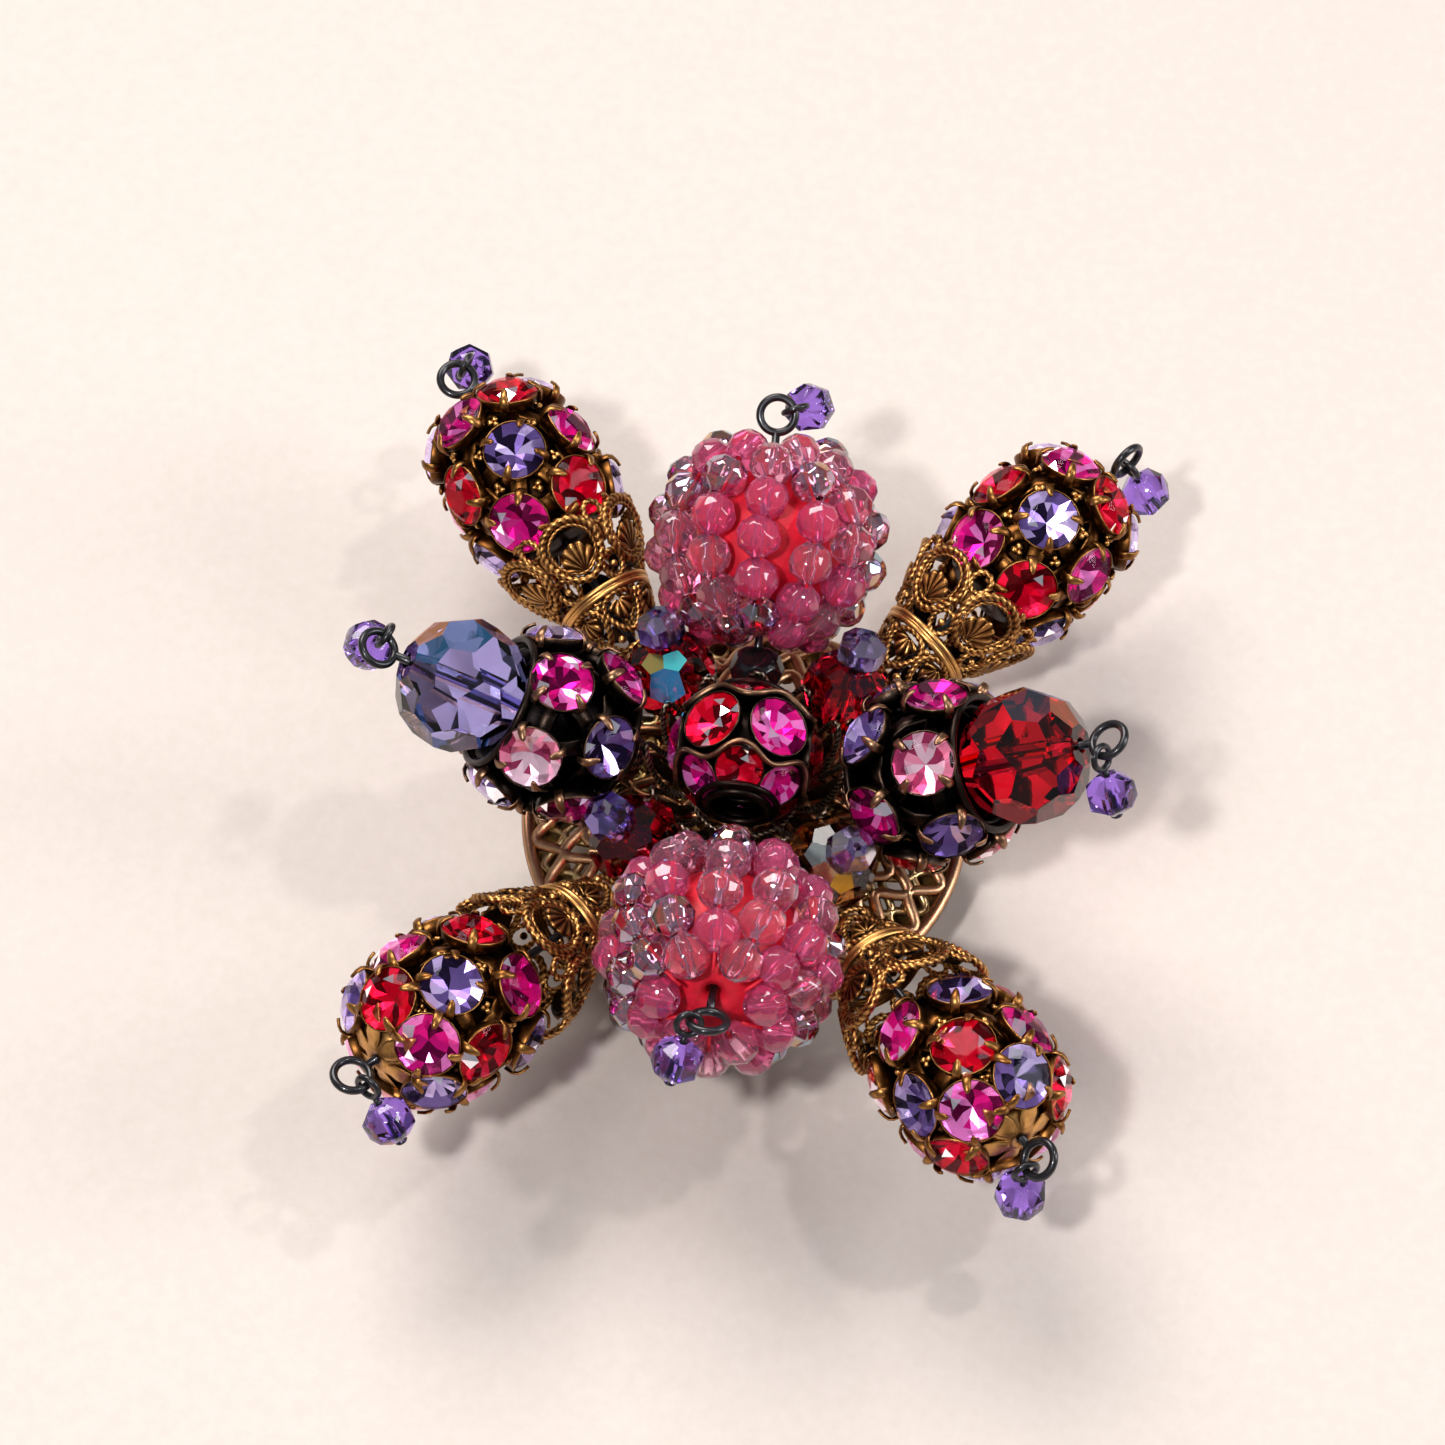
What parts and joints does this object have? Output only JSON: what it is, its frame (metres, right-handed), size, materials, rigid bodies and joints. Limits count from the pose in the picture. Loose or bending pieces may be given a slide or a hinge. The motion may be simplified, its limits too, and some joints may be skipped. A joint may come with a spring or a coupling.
{
  "type": "brooch",
  "caption": "Beaded costume brooch: set-stone balls in filigree bells, wrapped bead balls, faceted crystals and hanging bead drops on a domed openwork base with a pin back.",
  "frame": {"origin": "centre of the back plate's flat back face", "axes": "+Z out of the front of the brooch, +Y towards the upper bead-wrapped ball, +X towards the red crystal"},
  "size_m": [0.0665, 0.0774, 0.0295],
  "materials": {
    "antique_brass": "antiqued, darker in the recesses",
    "copper_base": "antiqued copper-bronze, satin",
    "gilt_back": "satin gilt",
    "dark_metal": "blackened, copper on the edges",
    "black_wire": "gloss",
    "plated_steel": "bright nickel plate",
    "jet_glass": "polished black",
    "crystal_blue": "cut, iridescent coat",
    "crystal_red": "cut, iridescent coat",
    "olive_glass": "cut, iridescent coat",
    "violet_glass": "fire polished",
    "pink_glass": "fire polished, clear and iridescent beads mixed",
    "red_core": "smooth",
    "stone_tanzanite": "cut, foiled",
    "stone_fuchsia": "cut, foiled",
    "stone_red": "cut, foiled",
    "stone_rose": "cut, foiled"
  },
  "bodies": {
    "brooch": {"back_plate": "gilt_back", "base_dome": "copper_base", "centre_rosette": "copper_base", "centre_ball": "dark_metal", "pin_bar": "plated_steel", "hinge_rivet": "plated_steel", "catch_body": "plated_steel", "dark_ball_right": "dark_metal", "crystal_right": "crystal_red", "eye_pin_right": "black_wire", "filigree_bell_upper_right": "antique_brass", "brass_ball_upper_right": "antique_brass", "eye_pin_upper_right": "black_wire", "jet_spacer_top": "jet_glass", "pink_core_top": "red_core", "bead_wrap_top": "pink_glass", "eye_pin_top": "black_wire", "filigree_bell_upper_left": "antique_brass", "brass_ball_upper_left": "antique_brass", "eye_pin_upper_left": "black_wire", "dark_ball_left": "dark_metal", "crystal_left": "crystal_blue", "eye_pin_left": "black_wire", "filigree_bell_lower_left": "antique_brass", "brass_ball_lower_left": "antique_brass", "eye_pin_lower_left": "black_wire", "jet_spacer_bottom": "jet_glass", "pink_core_bottom": "red_core", "bead_wrap_bottom": "pink_glass", "eye_pin_bottom": "black_wire", "filigree_bell_lower_right": "antique_brass", "brass_ball_lower_right": "antique_brass", "eye_pin_lower_right": "black_wire", "accent_bead_upper_left": "crystal_red", "accent_tip_upper_left": "stone_tanzanite", "accent_bead_upper_right": "crystal_red", "accent_tip_upper_right": "stone_tanzanite", "accent_bead_lower_left": "crystal_red", "accent_tip_lower_left": "stone_tanzanite", "accent_bead_lower_right": "olive_glass", "accent_tip_lower_right": "stone_tanzanite"},
    "dangle_right": {"dangle_link_right": "black_wire", "dangle_bead_right": "violet_glass"},
    "dangle_upper_right": {"dangle_link_upper_right": "black_wire", "dangle_bead_upper_right": "violet_glass"},
    "dangle_top": {"dangle_link_top": "black_wire", "dangle_bead_top": "violet_glass"},
    "dangle_upper_left": {"dangle_link_upper_left": "black_wire", "dangle_bead_upper_left": "violet_glass"},
    "dangle_left": {"dangle_link_left": "black_wire", "dangle_bead_left": "violet_glass"},
    "dangle_lower_left": {"dangle_link_lower_left": "black_wire", "dangle_bead_lower_left": "violet_glass"},
    "dangle_bottom": {"dangle_link_bottom": "black_wire", "dangle_bead_bottom": "violet_glass"},
    "dangle_lower_right": {"dangle_link_lower_right": "black_wire", "dangle_bead_lower_right": "violet_glass"},
    "stem": {"pin_stem": "plated_steel"},
    "collar": {"catch_collar": "plated_steel"}
  },
  "joints": [
    {"name": "pin_stem_hinge", "type": "hinge", "parent": "brooch", "child": "stem", "pos_m": [-0.0115, 0.008, -0.0028], "axis": [0, 1, 0], "range_deg": [0, 95]},
    {"name": "catch_lock", "type": "hinge", "parent": "brooch", "child": "collar", "pos_m": [0.0115, 0.008, -0.0028], "axis": [1, 0, 0], "range_deg": [0, 80]},
    {"name": "dangle_swing_right", "type": "hinge", "parent": "brooch", "child": "dangle_right", "pos_m": [0.02949, -0.0014, 0.02142], "axis": [0.7933, -0.3534, 0.4957], "range_deg": [-60, 60]},
    {"name": "dangle_swing_upper_right", "type": "hinge", "parent": "brooch", "child": "dangle_upper_right", "pos_m": [0.02916, 0.03475, 0.00908], "axis": [0.6211, 0.7402, 0.2574], "range_deg": [-60, 60]},
    {"name": "dangle_swing_top", "type": "hinge", "parent": "brooch", "child": "dangle_top", "pos_m": [0.00035, 0.02971, 0.02014], "axis": [-0.4084, 0.7871, 0.4624], "range_deg": [-60, 50]},
    {"name": "dangle_swing_upper_left", "type": "hinge", "parent": "brooch", "child": "dangle_upper_left", "pos_m": [-0.02923, 0.03558, 0.01237], "axis": [-0.9406, 0.2935, 0.1706], "range_deg": [-60, 60]},
    {"name": "dangle_swing_left", "type": "hinge", "parent": "brooch", "child": "dangle_left", "pos_m": [-0.0303, 0.00224, 0.0216], "axis": [-0.814, 0.2899, 0.5033], "range_deg": [-60, 50]},
    {"name": "dangle_swing_lower_left", "type": "hinge", "parent": "brooch", "child": "dangle_lower_left", "pos_m": [-0.02627, -0.03477, 0.01306], "axis": [0.4454, 0.8678, -0.2204], "range_deg": [-60, 60]},
    {"name": "dangle_swing_bottom", "type": "hinge", "parent": "brooch", "child": "dangle_bottom", "pos_m": [-0.00068, -0.02959, 0.02076], "axis": [0.2805, -0.8209, 0.4975], "range_deg": [-60, 46]},
    {"name": "dangle_swing_lower_right", "type": "hinge", "parent": "brooch", "child": "dangle_lower_right", "pos_m": [0.0272, -0.03477, 0.01182], "axis": [0.5045, -0.8594, 0.0829], "range_deg": [-10, 60]}
  ]
}
